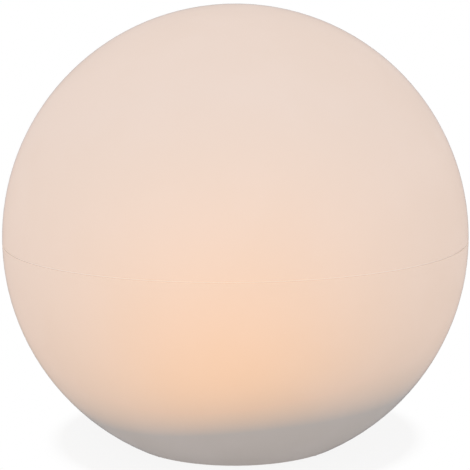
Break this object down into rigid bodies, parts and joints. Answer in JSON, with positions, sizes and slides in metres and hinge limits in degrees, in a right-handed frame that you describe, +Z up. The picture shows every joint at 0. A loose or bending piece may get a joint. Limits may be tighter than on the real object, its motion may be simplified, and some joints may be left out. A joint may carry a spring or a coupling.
{
  "type": "garden globe light",
  "caption": "Translucent white ball lamp on a flat base, in halves joined at the equator, with a sealed rechargeable LED unit in its floor.",
  "frame": {"origin": "centre of the footprint, on the surface that the lamp stands on", "axes": "+Z up through the crown of the ball, -Y towards the viewer of the picture, where the charging socket lies under the base"},
  "size_m": [0.3, 0.3, 0.2824],
  "materials": {
    "globe": "translucent white polyethylene, satin",
    "seal_rubber": "matt",
    "seam_silicone": "matt translucent silicone",
    "foot_rubber": "matt",
    "housing_plastic": "fine texture",
    "inner_plastic": "fine texture",
    "button_plastic": "satin",
    "reflector_plastic": "gloss white",
    "dome_opal": "opal, lit from inside",
    "board": "solder mask",
    "led_board_white": "white solder mask",
    "led_body": "phosphor",
    "component_black": "moulded",
    "component_can": "satin",
    "cell_can": "wrapped can",
    "screw_steel": "satin",
    "contact_steel": "nickel plated",
    "lead_red": "satin",
    "lead_black": "satin"
  },
  "bodies": {
    "lamp_base": {"lower_shell": "globe", "module_gasket": "seal_rubber", "housing_gasket": "seal_rubber", "dome_gasket": "seal_rubber", "seam_seal": "seam_silicone", "rubber_feet": "foot_rubber", "plug_tether": "foot_rubber", "module_housing": "housing_plastic", "battery_cradle": "inner_plastic", "battery_retainer": "inner_plastic", "power_switch": "inner_plastic", "socket_tongue": "inner_plastic", "reflector_plate": "reflector_plastic", "dome_ring": "reflector_plastic", "diffuser_dome": "dome_opal", "control_board": "board", "led_board": "led_board_white", "leds": "led_body", "board_chips": "component_black", "board_choke": "component_black", "board_capacitors": "component_can", "heat_sink": "component_can", "battery_cells": "cell_can", "module_screws": "screw_steel", "cradle_screws": "screw_steel", "retainer_screws": "screw_steel", "led_board_screws": "screw_steel", "dome_ring_screws": "screw_steel", "positive_contact": "contact_steel", "negative_contact": "contact_steel", "negative_springs": "contact_steel", "button_spring": "contact_steel", "charge_socket": "contact_steel", "battery_lead_positive": "lead_red", "led_lead_positive": "lead_red", "battery_lead_negative": "lead_black", "led_lead_negative": "lead_black"},
    "ball_top": {"upper_shell": "globe"},
    "button": {"power_button": "button_plastic", "button_seal": "seal_rubber", "switch_plunger": "button_plastic"},
    "socket_plug": {"charge_plug": "foot_rubber"}
  },
  "joints": [
    {"name": "upper_shell_lift", "type": "slide", "parent": "lamp_base", "child": "ball_top", "axis": [0, 0, 1], "range_m": [0, 0.08]},
    {"name": "power_button_push", "type": "slide", "parent": "lamp_base", "child": "button", "axis": [0, 0, 1], "range_m": [0, 0.0015], "stiffness_N_per_m": 1200, "springref_m": -0.001, "deforming": ["button_spring"]},
    {"name": "charge_plug_open", "type": "hinge", "parent": "lamp_base", "child": "socket_plug", "pos_m": [0, -0.029, 0.0018], "axis": [-1, 0, 0], "range_deg": [0, 90]}
  ]
}
